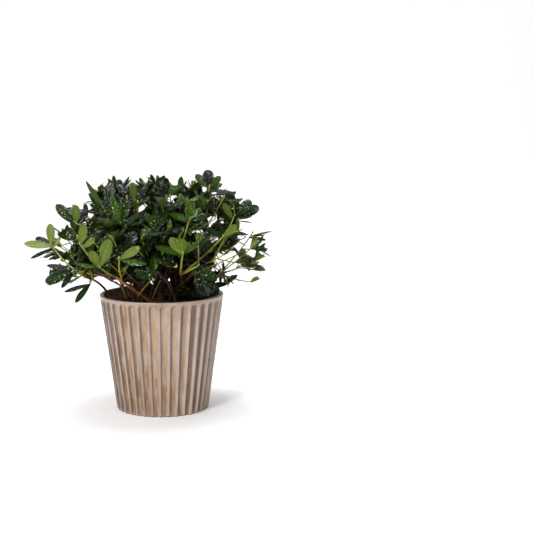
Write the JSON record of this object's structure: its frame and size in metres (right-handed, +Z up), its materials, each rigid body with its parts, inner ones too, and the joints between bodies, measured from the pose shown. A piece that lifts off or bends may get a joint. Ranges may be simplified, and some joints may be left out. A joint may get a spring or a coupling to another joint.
{
  "type": "potted azalea",
  "caption": "Small evergreen azalea shrub with glossy leaves in whorls, standing in a round tapering fluted pot of soil.",
  "frame": {"origin": "middle of the pot's flat underside, on the floor", "axes": "+Z up along the pot's axis; the pictured side faces -Y, with +X to its right"},
  "size_m": [0.2592, 0.2399, 0.2591],
  "materials": {
    "pot_glaze": "glazed stoneware, mauve grey on the ridges and golden tan in the flutes",
    "soil": "dark damp potting soil",
    "bark": "thin reddish-brown bark",
    "leaves": "glossy dark green evergreen leaves, young ones brighter"
  },
  "bodies": {
    "root": {"pot": "pot_glaze", "soil": "soil", "trunk": "bark", "bough_left": "bark", "stem_left_front": "bark", "bough_front_left": "bark", "stem_front": "bark", "bough_front_right": "bark", "bough_right": "bark", "bough_back_right": "bark", "bough_back": "bark", "bough_back_left": "bark", "bough_upper_left": "bark", "bough_upper_front_left": "bark", "bough_upper_front_right": "bark", "bough_upper_right": "bark", "bough_upper_back_right": "bark", "bough_upper_back_left": "bark", "bough_top": "bark", "foliage_left": "leaves", "foliage_left_front": "leaves", "foliage_front_left": "leaves", "foliage_front": "leaves", "foliage_front_right": "leaves", "foliage_right": "leaves", "foliage_back_right": "leaves", "foliage_back": "leaves", "foliage_back_left": "leaves", "foliage_upper_left": "leaves", "foliage_upper_front_left": "leaves", "foliage_upper_front_right": "leaves", "foliage_upper_right": "leaves", "foliage_upper_back_right": "leaves", "foliage_upper_back_left": "leaves", "foliage_top": "leaves"}
  },
  "joints": []
}
